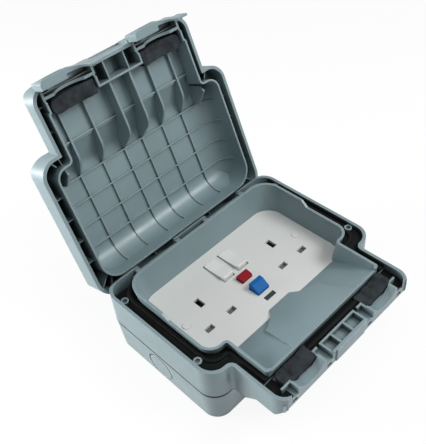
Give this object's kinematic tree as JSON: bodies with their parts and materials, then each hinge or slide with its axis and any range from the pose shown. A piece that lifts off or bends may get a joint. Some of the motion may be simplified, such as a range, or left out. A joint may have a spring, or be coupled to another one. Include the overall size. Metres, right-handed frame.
{
  "type": "outdoor weatherproof socket",
  "caption": "Weatherproof outdoor double socket: a hinged, latched, ribbed lid over a gasketed tub with two switched three-pin outlets and residual current test buttons.",
  "frame": {"origin": "centre of the back box's wall face", "axes": "+X to the right along the wall, +Y up the wall towards the hinge, +Z out of the wall; the lid is open at rest"},
  "size_m": [0.174, 0.2311, 0.2021],
  "materials": {
    "case_grey": "satin mould finish",
    "plate_white": "gloss",
    "rocker_white": "gloss",
    "button_red": "gloss",
    "button_blue": "gloss",
    "window_dark": "gloss",
    "shutter_white": "matt",
    "works_grey": "matt",
    "gasket_black": "matt",
    "pad_black": "matt foam rubber",
    "seal_grey": "matt",
    "brass": "bright",
    "steel": "zinc plated"
  },
  "bodies": {
    "base": {"back_box": "case_grey", "box_seal": "seal_grey", "front_frame": "case_grey", "case_screws": "steel", "inner_surround": "case_grey", "lid_gasket": "gasket_black", "frame_cable_pad_right": "pad_black", "frame_cable_pad_left": "pad_black", "face_plate": "plate_white", "plate_screws": "steel", "screw_caps": "plate_white", "socket_housing": "works_grey", "rcd_module": "works_grey", "indicator_window": "window_dark", "line_contacts": "brass", "neutral_contacts": "brass", "earth_contacts": "brass", "terminal_screws": "steel", "hinge_pins": "steel"},
    "latch_right": {"latch_right": "case_grey"},
    "latch_left": {"latch_left": "case_grey"},
    "rocker_right": {"rocker_right": "rocker_white"},
    "rocker_left": {"rocker_left": "rocker_white"},
    "test_button": {"test_button": "button_red"},
    "reset_button": {"reset_button": "button_blue"},
    "shutter_right": {"shutter_right": "shutter_white"},
    "shutter_left": {"shutter_left": "shutter_white"},
    "lid": {"lid": "case_grey", "lid_cable_pad_right": "pad_black", "lid_cable_pad_left": "pad_black", "latch_pins": "steel"}
  },
  "joints": [
    {"name": "lid_hinge", "type": "hinge", "parent": "base", "child": "lid", "pos_m": [0, 0.0524, 0.0504], "axis": [1, 0, 0], "range_deg": [0, 111.4]},
    {"name": "latch_right_hinge", "type": "hinge", "parent": "lid", "child": "latch_right", "pos_m": [0.03975, 0.12444, 0.18435], "axis": [-1, 0, 0], "range_deg": [0, 80]},
    {"name": "latch_left_hinge", "type": "hinge", "parent": "lid", "child": "latch_left", "pos_m": [-0.03975, 0.12444, 0.18435], "axis": [-1, 0, 0], "range_deg": [0, 80]},
    {"name": "rocker_right_hinge", "type": "hinge", "parent": "base", "child": "rocker_right", "pos_m": [0.0077, 0.0166, 0.0358], "axis": [1, 0, 0], "range_deg": [0, 10]},
    {"name": "rocker_left_hinge", "type": "hinge", "parent": "base", "child": "rocker_left", "pos_m": [-0.0077, 0.0166, 0.0358], "axis": [1, 0, 0], "range_deg": [0, 10]},
    {"name": "test_press", "type": "slide", "parent": "base", "child": "test_button", "axis": [0, 0, -1], "range_m": [0, 0.002], "stiffness_N_per_m": 400, "springref_m": -0.0005},
    {"name": "reset_press", "type": "slide", "parent": "base", "child": "reset_button", "axis": [0, 0, -1], "range_m": [0, 0.002], "stiffness_N_per_m": 400, "springref_m": -0.0005},
    {"name": "shutter_right_slide", "type": "slide", "parent": "base", "child": "shutter_right", "axis": [0, -1, 0], "range_m": [0, 0.0052], "stiffness_N_per_m": 100, "springref_m": -0.001},
    {"name": "shutter_left_slide", "type": "slide", "parent": "base", "child": "shutter_left", "axis": [0, -1, 0], "range_m": [0, 0.0052], "stiffness_N_per_m": 100, "springref_m": -0.001}
  ]
}
